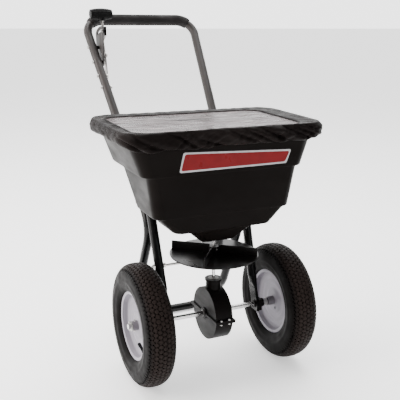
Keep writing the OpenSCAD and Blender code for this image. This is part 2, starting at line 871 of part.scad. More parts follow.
// Wire through the top of the shaft that stirs the load
module agitator() {
    z = shaft_top_z - 10;
    color("silver") bent_bar([[0, -34, z + 12], [0, -26, z], [0, 26, z], [0, 34, z - 10]], [5, 5], 2);
}

// ---------------------------------------------------------------- hand lever

// Local frame with its origin at the lever's pivot, z up along the lever
module at_lever() {
    translate(pivot) rotate([-lever_lean, 0, 0]) children();
}

tail_angle = lever_lean - lever_swing / 2;
tail_at = pivot + tail_len * [0, -sin(lever_swing / 2), -cos(lever_swing / 2)];
strap_t = 3;
strap_w = 16;
jog = [42, 56];

module lever() {
    color("#8f8f8d") difference() {
        at_lever() union() {
            translate([0, strap_w / 2, 0]) rotate([90, 0, 0]) linear_extrude(strap_w) polygon([
                [-strap_t / 2, 0], [strap_t / 2, 0], [strap_t / 2, jog[0]],
                [grip_offset_x + strap_t / 2, jog[1]], [grip_offset_x + strap_t / 2, lever_len - 12],
                [grip_offset_x - strap_t / 2, lever_len - 12], [grip_offset_x - strap_t / 2, jog[1] + 1],
                [-strap_t / 2, jog[0] + 1]]);
            bar_x(-strap_t / 2, strap_t / 2, 0, 0, strap_w / 2 + 3);
            rotate([tail_angle, 0, 0]) translate([-strap_t / 2, -strap_w / 2, -tail_len])
                cube([strap_t, strap_w, tail_len]);
            rotate([tail_angle, 0, 0]) bar_x(-strap_t / 2, strap_t / 2, 0, -tail_len, strap_w / 2);
        }
        bar_x(pivot[0] - 20, pivot[0] + 20, pivot[1], pivot[2], 4 + fit);
        bar_x(tail_at[0] - 20, tail_at[0] + 20, tail_at[1], tail_at[2], 2.6 + fit);
    }
}

// Barrel with a fat middle, across the top of the lever
module t_grip() {
    half = t_grip_w / 2;
    profile = [for (i = [0:16]) let (u = i / 8 - 1) [12 + 5.5 * pow(cos(u * 80), 0.7), u * half]];
    color("#141414") at_lever() difference() {
        translate([grip_offset_x, 0, lever_len]) union() {
            rotate([0, 90, 0]) rotate_extrude() polygon(concat([[0, -half]], profile, [[0, half]]));
            translate([0, 0, -24]) cylinder(r = 9.5, h = 20);
        }
        translate([grip_offset_x, 0, lever_len - 25])
            cube([strap_t + 0.1, strap_w + 0.1, 26.2], center = true);
    }
}

rod_r = 2.6;
rod_x = -158;
rod_low_z = 640;

// Rod from the lever's tail, down behind the handle tube and the hopper, to the gate's ear
module control_rod() {
    fall = tail_at[2] - rod_low_z;
    top = [rod_x, tail_at[1], tail_at[2]];
    mid = top + [fall * handle_spread, -fall * handle_slope, -fall];
    low = [ear_x, ear_y, ear_z];
    points = [top + [15, 0, 0], top, mid, low - [14, 0, 0], low + [7, 0, 0]];
    color("#b0b0ae") bent_bar(points, [6, 40, 9], rod_r);
}

gauge_x = -157;
gauge_t = 3;
gauge_in = gauge_x + gauge_t;

// Quadrant with a curved slot for the stop, bolted to the handle tube
module gauge_plate() {
    color("#3a3735") difference() {
        translate([gauge_x, pivot[1], pivot[2]]) rotate([90, 0, 90]) linear_extrude(gauge_t)
            polygon(concat(
                arc(0, 0, slot_r + 14, 100, 48, 10),
                [[54, 26], [44, 14], [10, -30], [-15, -30]]));
        translate([gauge_x - 5, pivot[1], pivot[2]]) rotate([90, 0, 90]) {
            rotate([0, 0, 90 - slot_ends[1]]) rotate_extrude(angle = slot_ends[1] - slot_ends[0])
                translate([slot_r - 3.3, 0]) square([6.6, 12]);
            for (a = slot_ends) rotate([0, 0, 90 - a]) translate([slot_r, 0]) cylinder(r = 3.3, h = 12);
        }
        bar_x(gauge_x - 5, gauge_x + 8, pivot[1], pivot[2], 4 + fit);
        for (z = gauge_bolt_z) bar_x(gauge_x - 5, gauge_x + 8, handle_y(z), z, 3.1);
    }
}

// Saddle washers between the handle tube and the gauge plate
module gauge_spacers() {
    color("#2a2a2a") for (z = gauge_bolt_z) difference() {
        inner_x = -handle_x(z) + tube_r - 4;
        bar_x(inner_x, gauge_x - fit, handle_y(z), z, 5.5);
        bar_x(inner_x - 5, gauge_x + 5, handle_y(z), z, 3.1);
        rod(mirrored(handle_at(z - 40)), mirrored(handle_at(z + 40)), tube_r + 0.1);
    }
}

module gauge_bolts() {
    color("silver") {
        for (z = gauge_bolt_z)
            bolt_x(-handle_x(z) - tube_r - 2.3, gauge_in + 2.3, handle_y(z), z, 3);
        for (z = tube_bolt_z)
            bolt_x(-handle_x(z) - tube_r - 2.3, tube_r + 2.3 - handle_x(z), handle_y(z), z, 3);
    }
}

// Shouldered pin riveted to the gauge plate
module pivot_bolt() {
    z = pivot[2];
    color("silver") {
        bar_x(gauge_x - 1.4, gauge_x - 0.1, pivot[1], z, 6);
        bar_x(gauge_x - 1, pivot[0] + 7, pivot[1], z, 4);
        bar_x(gauge_in + 0.1, pivot[0] - strap_t / 2 - 0.4, pivot[1], z, 7);
        bar_x(pivot[0] + strap_t / 2 + 0.4, pivot[0] + 6, pivot[1], z, 7);
    }
}

stop_y = pivot[1] + slot_r * sin(slot_ends[0] + 1);
stop_z = pivot[2] + slot_r * cos(slot_ends[0] + 1);

module stop_bolt() {
    color("silver") {
        bar_x(gauge_x - 2.6, gauge_in + 8, stop_y, stop_z, 3);
        bar_x(gauge_x - 2.6, gauge_x - 0.1, stop_y, stop_z, 5.2);
    }
}

module wing_nut() {
    x = gauge_in + 0.2;
    color("#151515") difference() {
        union() {
            bar_x(x, x + 7, stop_y, stop_z, 5.5);
            translate([x + 4, stop_y - 1.5, stop_z - 13]) cube([7, 3, 26]);
        }
        bar_x(x - 20, x + 8.5, stop_y, stop_z, 3 + fit / 2);
    }
}

handle_tube();
foam_grip();
stand_tube();
axle_leg_left();
axle_leg_right();
gussets();
cross_rod();
cross_rod_nuts();
frame_bolts();
handle_bolts();
hopper();
hopper_bolts();
hopper_spacers();
shaft_bushing();
gate_guide();
gate_guide_screws();
leg_bearing_left();
leg_bearing_right();
gearbox_upper();
gearbox_lower();
gearbox_screws();
neck_bushing();
gearbox_bushings();
gauge_plate();
gauge_spacers();
gauge_bolts();
pivot_bolt();
axle();
axle_spacers();
axle_washers();
cotter_pins();
axle_gear();
gear_pin();
tyre_left();
inner_tube_left();
rim_left();
disc_left_outer();
disc_left_inner();
hub_left();
drive_pin();
tyre_right();
inner_tube_right();
rim_right();
disc_right_outer();
disc_right_inner();
hub_right();
hub_bushings();
impeller_shaft();
pinion();
impeller();
impeller_pin();
agitator();
lever();
t_grip();
control_rod();
gate_plate();
stop_bolt();
wing_nut();
cover_band();
cover_window();
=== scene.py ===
"""Push broadcast spreader: looks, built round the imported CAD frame. X runs along the axle, Y to
the rear, Z up. Blender's lengths are metres. Outlines and other small sizes are written in
millimetres, which mm() and MM turn into metres."""

import json
import math

import bmesh
import bpy
from mathutils import Matrix, Vector, noise


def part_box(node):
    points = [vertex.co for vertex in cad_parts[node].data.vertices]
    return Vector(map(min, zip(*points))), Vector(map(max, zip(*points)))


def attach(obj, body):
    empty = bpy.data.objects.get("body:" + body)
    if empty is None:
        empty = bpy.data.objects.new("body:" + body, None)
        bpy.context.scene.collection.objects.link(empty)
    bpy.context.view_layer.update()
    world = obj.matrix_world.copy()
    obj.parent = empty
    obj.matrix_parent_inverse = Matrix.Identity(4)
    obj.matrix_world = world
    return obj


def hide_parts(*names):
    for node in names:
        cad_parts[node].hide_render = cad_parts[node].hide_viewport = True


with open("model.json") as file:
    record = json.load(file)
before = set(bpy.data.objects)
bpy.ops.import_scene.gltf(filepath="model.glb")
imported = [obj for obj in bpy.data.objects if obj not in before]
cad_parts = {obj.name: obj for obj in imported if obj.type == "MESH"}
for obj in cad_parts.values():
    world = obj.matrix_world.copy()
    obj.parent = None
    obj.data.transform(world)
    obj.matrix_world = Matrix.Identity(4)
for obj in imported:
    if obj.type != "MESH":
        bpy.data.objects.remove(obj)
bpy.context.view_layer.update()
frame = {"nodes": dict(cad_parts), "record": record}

MM = 0.001
UP = Vector((0, 0, 1))
TYRE_LOW, TYRE_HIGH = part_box("tyre_left")
TYRE_R = (TYRE_HIGH.z - TYRE_LOW.z) / 2
AXLE_Z = (TYRE_HIGH.z + TYRE_LOW.z) / 2


def mm(*values):
    """A vector in metres from millimetres."""
    return Vector([v * MM for v in values])


def map_range(tree, start, end, low, high):
    """A node that turns a value between start and end into one from low to high."""
    change = tree.nodes.new("ShaderNodeMapRange")
    for socket, value in (("From Min", start), ("From Max", end), ("To Min", low), ("To Max", high)):
        change.inputs[socket].default_value = value
    return change


# ------------------------------------------------------------------ camera, floor and light

CAMERA_AT = (-0.783, -1.571, 0.976)
CAMERA_HEADING = -24.94
CAMERA_DIP = 15.89
CAMERA_ROLL = 0.79
CAMERA_LENS = 61.74
CAMERA_SHIFT = (0.0074, 0.0081)
# Name, place, target, size, power and tint of each lamp
LAMPS = [
    ("key", (-3.0, 0.3, 1.6), (0, 0.1, 0.45), (2.0, 2.4), 170, (1, 0.95, 0.92)),
    ("top", (0.3, 0.8, 3.4), (0, 0.1, 0.0), (3.0, 3.0), 170, (1, 1, 1)),
    ("front", (1.2, -3.4, 1.6), (0, 0, 0.35), (1.2, 1.2), 10, (1, 1, 1)),
]
GLOW_IN_FRONT = 0.16
GLOW_BEHIND = 3.2
FLOOR_HALF = 30


def make_camera():
    data = bpy.data.cameras.new("camera")
    data.lens = CAMERA_LENS
    data.sensor_width = 36
    data.shift_x, data.shift_y = CAMERA_SHIFT
    camera = bpy.data.objects.new("camera", data)
    turn = Matrix.Rotation(math.radians(CAMERA_HEADING), 4, "Z")
    dip = Matrix.Rotation(math.radians(90 - CAMERA_DIP), 4, "X")
    roll = Matrix.Rotation(math.radians(CAMERA_ROLL), 4, "Z")
    camera.matrix_world = Matrix.Translation(CAMERA_AT) @ turn @ dip @ roll
    bpy.context.scene.collection.objects.link(camera)
    bpy.context.scene.camera = camera


def area_light(name, at, target, size, power, tint):
    data = bpy.data.lights.new(name, "AREA")
    data.shape = "RECTANGLE"
    data.size, data.size_y = size
    data.energy = power
    data.color = tint
    light = bpy.data.objects.new(name, data)
    light.location = at
    light.rotation_mode = "QUATERNION"
    light.rotation_quaternion = (Vector(target) - Vector(at)).to_track_quat("-Z", "Y")
    bpy.context.scene.collection.objects.link(light)


def make_world():
    """White all round: dim in front of the spreader, bright behind it."""
    world = bpy.data.worlds.new("studio")
    world.use_nodes = True
    tree = world.node_tree
    direction = tree.nodes.new("ShaderNodeTexCoord").outputs["Generated"]
    parts = tree.nodes.new("ShaderNodeSeparateXYZ")
    change = map_range(tree, -0.6, 0.8, GLOW_IN_FRONT, GLOW_BEHIND)
    change.interpolation_type = "SMOOTHSTEP"
    background = tree.nodes["Background"]
    background.inputs["Color"].default_value = (1, 1, 1, 1)
    tree.links.new(direction, parts.inputs["Vector"])
    tree.links.new(parts.outputs["Y"], change.inputs["Value"])
    tree.links.new(change.outputs["Result"], background.inputs["Strength"])
    bpy.context.scene.world = world


def make_studio():
    make_world()
    for lamp in LAMPS:
        area_light(*lamp)
    corners = [(x * FLOOR_HALF, y * FLOOR_HALF, 0) for x, y in ((-1, -1), (1, -1), (1, 1), (-1, 1))]
    floor = new_mesh("floor", corners, [(0, 1, 2, 3)])
    floor.data.materials.append(floor_material())


# ------------------------------------------------------------------ materials


class Surface:
    """A Principled material whose colour, roughness and bump come from patterns in the piece's
    own space, so they stay put when it moves."""

    def __init__(self, name, colour, roughness, metallic=0.0, specular=0.5):
        self.material = bpy.data.materials.new(name)
        self.material.use_nodes = True
        self.tree = self.material.node_tree
        self.shader = self.tree.nodes["Principled BSDF"]
        self.set("Base Color", (*colour, 1))
        self.set("Roughness", roughness)
        self.set("Metallic", metallic)
        self.set("Specular IOR Level", specular)
        self.where = self.node("ShaderNodeTexCoord").outputs["Object"]
        self.height = None

    def set(self, socket, value):
        self.shader.inputs[socket].default_value = value

    def node(self, kind, **inputs):
        made = self.tree.nodes.new(kind)
        for socket, value in inputs.items():
            made.inputs[socket].default_value = value
        return made

    def link(self, source, target):
        self.tree.links.new(source, target)

    def stretched(self, stretch):
        """The coordinates, drawn out along some axes."""
        mapping = self.node("ShaderNodeMapping")
        mapping.inputs["Scale"].default_value = stretch
        self.link(self.where, mapping.inputs["Vector"])
        return mapping.outputs["Vector"]

    def noise(self, scale, detail=4.0, stretch=(1, 1, 1), rough=0.5):
        pattern = self.node("ShaderNodeTexNoise", Scale=scale, Detail=detail, Roughness=rough)
        self.link(self.stretched(stretch), pattern.inputs["Vector"])
        return pattern.outputs["Fac"]

    def waves(self, scale, direction):
        pattern = self.node("ShaderNodeTexWave", Scale=scale, Distortion=0.4)
        pattern.bands_direction = direction
        self.link(self.where, pattern.inputs["Vector"])
        return pattern.outputs["Fac"]

    def from_axle(self, reach):
        """1 on the axle's line, falling to 0 at that distance from it."""
        mapping = self.node("ShaderNodeMapping")
        mapping.inputs["Location"].default_value = (0, 0, -AXLE_Z / reach)
        mapping.inputs["Scale"].default_value = (0, 1 / reach, 1 / reach)
        self.link(self.where, mapping.inputs["Vector"])
        pattern = self.node("ShaderNodeTexGradient")
        pattern.gradient_type = "SPHERICAL"
        self.link(mapping.outputs["Vector"], pattern.inputs["Vector"])
        return pattern.outputs["Fac"]

    def cells(self, scale):
        pattern = self.node("ShaderNodeTexVoronoi", Scale=scale)
        self.link(self.where, pattern.inputs["Vector"])
        return pattern.outputs["Distance"]

    def spread(self, pattern, low, high, start=0.3, end=0.7):
        """pattern between start and end becomes a number from low to high."""
        change = map_range(self.tree, start, end, low, high)
        self.link(pattern, change.inputs["Value"])
        return change.outputs["Result"]

    def tint(self, pattern, other, start=0.35, end=0.65):
        """Mixes the base colour with another where the pattern is high."""
        mix = self.node("ShaderNodeMix")
        mix.data_type = "RGBA"
        self.link(self.spread(pattern, 0, 1, start, end), mix.inputs["Factor"])
        base = self.shader.inputs["Base Color"]
        if base.is_linked:
            self.link(base.links[0].from_socket, mix.inputs[6])
        else:
            mix.inputs[6].default_value = base.default_value
        mix.inputs[7].default_value = (*other, 1)
        self.link(mix.outputs[2], base)

    def uneven(self, pattern, low, high):
        """Roughness from low to high over the pattern."""
        self.link(self.spread(pattern, low, high), self.shader.inputs["Roughness"])

    def sheen_at_edges(self, low, high):
        """Gloss from low where the surface faces the viewer to high where it turns away."""
        weight = self.node("ShaderNodeLayerWeight", Blend=0.5).outputs["Facing"]
        self.link(self.spread(weight, low, high, 0.25, 0.85), self.shader.inputs["Specular IOR Level"])

    def bump(self, pattern, depth):
        """Adds a bump of that depth in metres."""
        bump = self.node("ShaderNodeBump", Distance=depth)
        self.link(pattern, bump.inputs["Height"])
        if self.height is not None:
            self.link(self.height, bump.inputs["Normal"])
        self.height = bump.outputs["Normal"]
        self.link(self.height, self.shader.inputs["Normal"])


def floor_material():
    """Matt white, lit a little from within like a light table, so it stays pale."""
    s = Surface("floor", (0.97, 0.97, 0.97), 0.8, specular=0.1)
    s.tint(s.noise(1.2), (0.955, 0.955, 0.955))
    s.set("Emission Color", (1, 1, 1, 1))
    s.set("Emission Strength", 0.7)
    return s.material


def paint(name, colour, roughness, specular=0.5):
    """Enamel or powder coat: slight orange peel, rubbed patches and a few scuffs."""
    s = Surface(name, colour, roughness, specular=specular)
    s.tint(s.noise(9, 5), [c * 1.25 for c in colour])
    s.tint(s.noise(60, 8, (1, 1, 0.15), 0.7), [min(c * 1.8 + 0.01, 0.9) for c in colour], 0.7, 0.82)
    s.uneven(s.noise(24, 6), roughness * 0.75, min(roughness * 1.35, 0.9))
    s.bump(s.noise(420, 3), 0.00006)
    return s.material


def steel(name, colour, roughness):
    """Drawn or plated steel, with fine lines along X and dulled patches."""
    grain = (1, 30, 30)
    s = Surface(name, colour, roughness, metallic=1.0)
    s.tint(s.noise(14, 4), [c * 0.72 for c in colour])
    s.tint(s.noise(90, 6, rough=0.7), [c * 0.5 for c in colour], 0.62, 0.8)
    s.uneven(s.noise(40, 8, grain), roughness * 0.6, roughness * 1.6)
    s.bump(s.noise(160, 4, grain), 0.00002)
    return s.material


def plastic(name, colour, roughness, texture=0.00005, gloss=(0.1, 0.5)):
    """Moulded plastic: fine spark-eroded texture, faint flow marks and handling sheen."""
    s = Surface(name, colour, roughness)
    s.sheen_at_edges(*gloss)
    s.tint(s.noise(5, 5), [c * 1.5 for c in colour])
    s.uneven(s.noise(12, 6, (1, 1, 2.5)), roughness * 0.82, min(roughness * 1.25, 0.95))
    s.bump(s.noise(900, 2), texture)
    s.bump(s.noise(14, 3), texture * 6)
    return s.material


def rubber(name, colour, roughness, dust, tread=None):
    """Tyre and grip rubber, with a little dust in it and a moulded grain. A tyre turns to the
    colour of its tread between 150 and 162 mm from the axle."""
    side_end, tread_start, reach = 0.150, 0.162, 0.2
    s = Surface(name, colour, roughness)
    s.sheen_at_edges(0.04, 0.09)
    s.tint(s.noise(16, 6, rough=0.65), dust, 0.5, 0.85)
    if tread:
        s.tint(s.from_axle(reach), tread, 1 - side_end / reach, 1 - tread_start / reach)
    s.uneven(s.noise(40, 5), roughness * 0.85, min(roughness * 1.2, 0.98))
    s.bump(s.noise(500, 4), 0.00012)
    return s.material


def foam(name, colour):
    """Closed-cell foam skin: soft pores, and pressed shiny spots."""
    s = Surface(name, colour, 0.8, specular=0.25)
    s.tint(s.noise(30, 5), [c * 1.9 for c in colour])
    s.uneven(s.noise(18, 4), 0.62, 0.92)
    s.bump(s.cells(620), 0.00035)
    s.bump(s.noise(70, 4), 0.0006)
    return s.material


def cloth(name, colour):
    """Coated woven cloth: crossed threads, about one every 0.9 mm, and faded high spots."""
    s = Surface(name, colour, 0.5)
    s.sheen_at_edges(0.03, 0.05)
    s.tint(s.noise(7, 6, rough=0.6), [c * 1.6 for c in colour])
    s.uneven(s.noise(25, 5), 0.36, 0.56)
    threads = 1000 / 0.9 / math.pi
    for direction, depth in (("X", 0.00009), ("Y", 0.00009), ("Z", 0.00006)):
        s.bump(s.waves(threads, direction), depth)
    s.bump(s.noise(30, 4), 0.0016)
    return s.material


def film(name, colour):
    """Soft vinyl window: glossy, creased, a little cloudy, with painted dark reflection streaks and
    painted bright glints.
    """
    s = Surface(name, colour, 0.2, specular=0.14)
    s.tint(s.noise(7, 6, (1, 3.5, 1), 0.6), [c * 0.55 for c in colour], 0.45, 0.75)
    # Painted reflection: narrow very dark streaks that stand in for dark things mirrored in the film
    s.tint(s.noise(9, 7, (0.6, 4, 1), 0.65), [c * 0.12 for c in colour], 0.54, 0.61)
    # Painted highlight: narrow bright streaks that stand in for glints off the creases
    s.tint(s.noise(14, 6, (0.5, 6, 1), 0.65), [min(c * 3.0, 0.9) for c in colour], 0.57, 0.66)
    s.uneven(s.noise(12, 5, (1, 3, 1)), 0.12, 0.34)
    s.bump(s.noise(16, 5, (0.5, 3, 1), 0.55), 0.016)
    s.bump(s.noise(90, 3, (0.6, 2, 1)), 0.0006)
    return s.material


# hub_steel is painted, like the discs that it sits in
MATERIALS = {
    "handle_paint": paint("handle_paint", (0.017, 0.0135, 0.0125), 0.42, specular=0.28),
    "frame_paint": paint("frame_paint", (0.003, 0.003, 0.003), 0.22, specular=0.16),
    "gauge_paint": paint("gauge_paint", (0.022, 0.019, 0.018), 0.42),
    "wheel_paint": paint("wheel_paint", (0.20, 0.188, 0.214), 0.42, specular=0.3),
    "zinc": steel("zinc", (0.60, 0.59, 0.57), 0.34),
    "bright_steel": steel("bright_steel", (0.78, 0.77, 0.76), 0.18),
    "plated_strip": steel("plated_strip", (0.48, 0.46, 0.44), 0.38),
    "hub_steel": paint("hub_steel", (0.15, 0.14, 0.155), 0.4, specular=0.3),
    "hopper_plastic": plastic("hopper_plastic", (0.0030, 0.0022, 0.0019), 0.46, gloss=(0.03, 0.14)),
    "black_plastic": plastic("black_plastic", (0.003, 0.0023, 0.0021), 0.46, gloss=(0.05, 0.2)),
    "gloss_black_plastic": plastic(
        "gloss_black_plastic", (0.0024, 0.002, 0.0019), 0.3, 0.00002, (0.1, 0.3)
    ),
    "pale_plastic": plastic("pale_plastic", (0.10, 0.095, 0.09), 0.45),
    "gear_plastic": plastic("gear_plastic", (0.52, 0.48, 0.40), 0.5),
    "tyre": rubber(
        "tyre", (0.002, 0.0015, 0.0014), 0.56, (0.005, 0.0036, 0.0032), (0.0150, 0.0108, 0.0096)
    ),
    "tube_rubber": rubber("tube_rubber", (0.004, 0.004, 0.005), 0.4, (0.012, 0.012, 0.012)),
    "grip_rubber": rubber("grip_rubber", (0.005, 0.005, 0.005), 0.45, (0.012, 0.012, 0.012)),
    "foam": foam("foam", (0.006, 0.005, 0.005)),
    "cover_fabric": cloth("cover_fabric", (0.0055, 0.0041, 0.0038)),
    "window_film": film("window_film", (0.088, 0.070, 0.071)),
}

# ------------------------------------------------------------------ mesh helpers


def new_mesh(name, points, faces, smooth=True):
    """A mesh object from points and faces, its faces turned outwards."""
    mesh = bpy.data.meshes.new(name)
    mesh.from_pydata([tuple(p) for p in points], [], faces)
    shell = bmesh.new()
    shell.from_mesh(mesh)
    bmesh.ops.recalc_face_normals(shell, faces=shell.faces)
    shell.to_mesh(mesh)
    shell.free()
    mesh.polygons.foreach_set("use_smooth", [smooth] * len(mesh.polygons))
    made = bpy.data.objects.new(name, mesh)
    bpy.context.scene.collection.objects.link(made)
    return made


def dress(piece, slot, body, *nodes, sharp=35):
    """Gives a piece its material and its body, and hides the CAD nodes it stands for."""
    piece.data.materials.append(MATERIALS[slot])
    piece.data.set_sharp_from_angle(angle=math.radians(sharp))
    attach(piece, body)
    if nodes:
        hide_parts(*nodes)
    return piece


def loops(rings, closed=True, returning=False, capped=False):
    """Points and faces of a skin over rings that all have the same number of points. closed
    joins each ring's last point to its first, returning joins the last ring to the first one,
    and capped closes both ends."""
    n = len(rings[0])
    points = [p for ring in rings for p in ring]
    faces = []
    for k in range(len(rings) if returning else len(rings) - 1):
        here, there = k * n, (k + 1) % len(rings) * n
        for i in range(n if closed else n - 1):
            j = (i + 1) % n
            faces.append((here + i, here + j, there + j, there + i))
    if capped:
        faces.append(tuple(range(n)))
        faces.append(tuple((len(rings) - 1) * n + i for i in reversed(range(n))))
    return points, faces


def circle(centre, side, up, radius, sides):
    """Points round a centre, from side towards up."""
    angles = [2 * math.pi * i / sides for i in range(sides)]
    return [centre + (side * math.cos(a) + up * math.sin(a)) * radius for a in angles]


def rounded(points, reach, steps=4):
    """A path in any number of dimensions with each inner corner rounded, starting reach before
    it. reach is one number, or one for each inner point."""
    reaches = reach if hasattr(reach, "__len__") else [reach] * (len(points) - 2)
    path = [Vector(points[0])]
    for before, corner, after, cut in zip(points, points[1:], points[2:], reaches):
        before, corner, after = Vector(before), Vector(corner), Vector(after)
        start = corner + (before - corner).normalized() * min(cut, (before - corner).length * 0.49)
        end = corner + (after - corner).normalized() * min(cut, (after - corner).length * 0.49)
        for k in range(steps + 1):
            t = k / steps
            path.append(start * (1 - t) ** 2 + corner * (2 * t * (1 - t)) + end * t * t)
    path.append(Vector(points[-1]))
    return path


def turned(profile, centre, segments):
    """Points and faces of a closed profile turned about the X axis through centre. Its points
    are (x, radius)."""
    rings = []
    for k in range(segments):
        a = 2 * math.pi * k / segments
        rings.append([centre + Vector((x, -r * math.sin(a), r * math.cos(a))) for x, r in profile])
    return loops(rings, returning=True)


def joined(parts):
    """One list of points and one of faces from several."""
    points, faces = [], []
    for more_points, more_faces in parts:
        start = len(points)
        points += list(more_points)
        faces += [tuple(i + start for i in face) for face in more_faces]
    return points, faces


def cut_out(piece, cutters):
    """Cuts other meshes out of a piece, and removes them."""
    for cutter in cutters:
        change = piece.modifiers.new("cut", "BOOLEAN")
        change.operation = "DIFFERENCE"
        change.solver = "EXACT"
        change.object = cutter
        graph = bpy.context.evaluated_depsgraph_get()
        mesh = bpy.data.meshes.new_from_object(piece.evaluated_get(graph))
        piece.modifiers.clear()
        piece.data = mesh
        bpy.data.objects.remove(cutter)


def rod_cutter(ends, side, up, radius, sides):
    """A cylinder between two points, to cut a hole with."""
    rings = [circle(end, side, up, radius, sides) for end in ends]
    return new_mesh("cutter", *loops(rings, capped=True))


def soft_noise(*place):
    """A smooth random value from -1 to 1, always the same at the same place."""
    return noise.noise(Vector(place))


# ------------------------------------------------------------------ tyres

RIM_R = 86 * MM
TREAD_DEPTH = 4.4 * MM
# The tread's blocks: rows, steps round the tyre and from row to row, and half a block's width
STUD_ROWS = 9
STUD_STEP = 12.72 * MM
ROW_STEP = 11.16 * MM
STUD_HALF = 5.58 * MM
STUD_VARIES = 0.48 * MM
# Size and height of each ring of a block, as shares, base first
STUD_RINGS = [(1.0, -1.25), (0.97, -0.35), (0.9, -0.08), (0.72, 0.0)]
TYRE_WALL = 7 * MM
# Inside this radius the tyre is narrower, to sit between the rim's flanges
BEAD_R = 92.4 * MM
BEAD_HALF = 25.6 * MM
SQUARENESS = 0.8


def squared(angle, power):
    """A point of the unit circle, moved towards a square as power falls from 1."""
    c, s = math.cos(angle), math.sin(angle)
    return math.copysign(abs(c) ** power, c), math.copysign(abs(s) ** power, s)


def tyre_outline(width, inset, angles):
    """(x, radius) points of the tyre's squarish section, seen at those angles from its crown."""
    overlap = 1.5 * MM
    middle = (TYRE_R + RIM_R) / 2 - overlap
    half_h = (TYRE_R - RIM_R) / 2 + overlap - inset
    half_w = width / 2 - inset
    outline = []
    for a in angles:
        x, r = squared(math.radians(90 - a), SQUARENESS)
        outline.append((x * half_w, middle + r * half_h))
    return outline


def tread_studs(width, centre):
    """Rounded blocks in staggered rows round the tyre, turned to interlock."""
    fine = [a * 0.5 for a in range(-180, 181)]
    outline = [Vector(p) for p in tyre_outline(width, 0, fine)]
    along = [0.0]
    for a, b in zip(outline, outline[1:]):
        along.append(along[-1] + (b - a).length)
    middle = along[len(along) // 2]
    around = round(2 * math.pi * TYRE_R / STUD_STEP)
    block = [Vector(squared(math.radians(90 * q + a), 0.5)) for q in range(4) for a in (15, 45, 75)]
    parts = []
    for row in range(STUD_ROWS):
        reach = (row - (STUD_ROWS - 1) / 2) * ROW_STEP
        k = min(range(len(along)), key=lambda i: abs(along[i] - middle - reach))
        k = min(max(k, 1), len(outline) - 2)
        x, r = outline[k]
        tangent = (outline[k + 1] - outline[k - 1]).normalized()
        out = Vector((-tangent.y, tangent.x))
        if out.y < 0:
            out = -out
        shoulder = row in (0, STUD_ROWS - 1)
        narrow = 0.86 if shoulder else 1
        drop = TREAD_DEPTH * (0.75 if shoulder else 1)
        for i in range(around):
            a = 2 * math.pi * (i + 0.5 * (row % 2)) / around
            radial = Vector((0, -math.sin(a), math.cos(a)))
            forward = Vector((0, -math.cos(a), -math.sin(a)))
            across = Vector((tangent.x, 0, 0)) + radial * tangent.y
            normal = Vector((out.x, 0, 0)) + radial * out.y
            spin = math.radians(32 if (i + row) % 2 else 58)
            u = forward * math.cos(spin) + across * math.sin(spin)
            v = across * math.cos(spin) - forward * math.sin(spin)
            size = STUD_HALF + STUD_VARIES * soft_noise(i * 1.7, row * 3.1, x * 9)
            here = centre + Vector((x, 0, 0)) + radial * r
            rings = [[here + (u * p.x + v * p.y * narrow) * size * grow + normal * drop * high
                      for p in block] for grow, high in STUD_RINGS]
            parts.append(loops(rings, capped=True))
    return parts


def wheel_centre(side):
    """The middle of a wheel, on the axle."""
    low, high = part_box(f"tyre_{side}")
    return Vector(((low.x + high.x) / 2, 0, AXLE_Z))


def make_tyre(side, body):
    """Carcass with sidewall rings and tread studs, as one piece."""
    name = f"tyre_{side}"
    low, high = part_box(name)
    centre = wheel_centre(side)
    width = high.x - low.x
    carcass = []
    for a in range(-150, 151, 3):
        inset = TREAD_DEPTH * max(0.0, min(1.0, (66 - abs(a)) / 8))
        ring_line = 0.9 * MM if abs(a) in (90, 93) else 0
        step = 0.55 * MM if 99 <= abs(a) <= 108 else 0
        carcass += tyre_outline(width, inset - ring_line + step, [a])
    carcass = [(max(-BEAD_HALF, min(BEAD_HALF, x)) if r < BEAD_R else x, r) for x, r in carcass]
    inner = tyre_outline(width, TYRE_WALL, [a * 6 for a in range(-24, 25)])
    section = carcass + list(reversed(inner))
    parts = [turned(section, centre, 144)] + tread_studs(width, centre)
    tyre = new_mesh(f"tread_{side}", *joined(parts))
    return dress(tyre, "tyre", body, name, sharp=50)


# ------------------------------------------------------------------ wheels


def make_rim(side, body):
    """Rolled steel rim: a well between two flanges with curled edges."""
    name = f"rim_{side}"
    low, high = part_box(name)
    half = (high.x - low.x) / 2 / MM
    line = [(6, 77), (11, 85.2), (half - 3, 85.6), (half - 1.6, 92), (half, 92), (half + 0.4, 88),
            (half - 1, 83.6), (10, 83.2), (5, 75)]
    right = [p * MM for p in rounded(line, 1.6, 3)]
    section = [(p.x, p.y) for p in right] + [(-p.x, p.y) for p in reversed(right)]
    centre = Vector(((low.x + high.x) / 2, 0, AXLE_Z))
    rim = new_mesh(f"rolled_rim_{side}", *turned(section, centre, 128))
    return dress(rim, "wheel_paint", body, name)


def make_disc(side, face, body):
    """Stamped disc with a raised ring and a dished middle."""
    name = f"disc_{side}_{face}"
    low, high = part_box(name)
    centre = wheel_centre(side)
    out = 1 if (low.x + high.x) / 2 > centre.x else -1
    ridge = [(14.4, 13.1), (14.4, 29), (12.2, 34), (10.2, 38), (10.0, 46), (11.6, 50), (11.6, 55),
             (10.0, 59), (10.2, 62.5), (13.0, 67), (13.0, 78), (12.2, 81), (13.6, 83.1)]
    face_line = [p * MM for p in rounded(ridge, 2.4)]
    back_line = [p - mm(2, 0) for p in reversed(face_line)]
    section = [(p.x * out, p.y) for p in face_line + back_line]
    disc = new_mesh(f"stamped_disc_{side}_{face}", *turned(section, centre, 128))
    if face == "inner":
        ends = [centre + mm(x, -14, -18) for x in (-40, 40)]
        cut_out(disc, [rod_cutter(ends, UP, Vector((0, 1, 0)), 4.2 * MM, 24)])
    return dress(disc, "wheel_paint", body, name)


WHEELS = {"left": "drive_wheel", "right": "free_wheel"}

for side, body in WHEELS.items():
    make_tyre(side, body)
    make_rim(side, body)
    for face in ("outer", "inner"):
        make_disc(side, face, body)

# ------------------------------------------------------------------ hopper

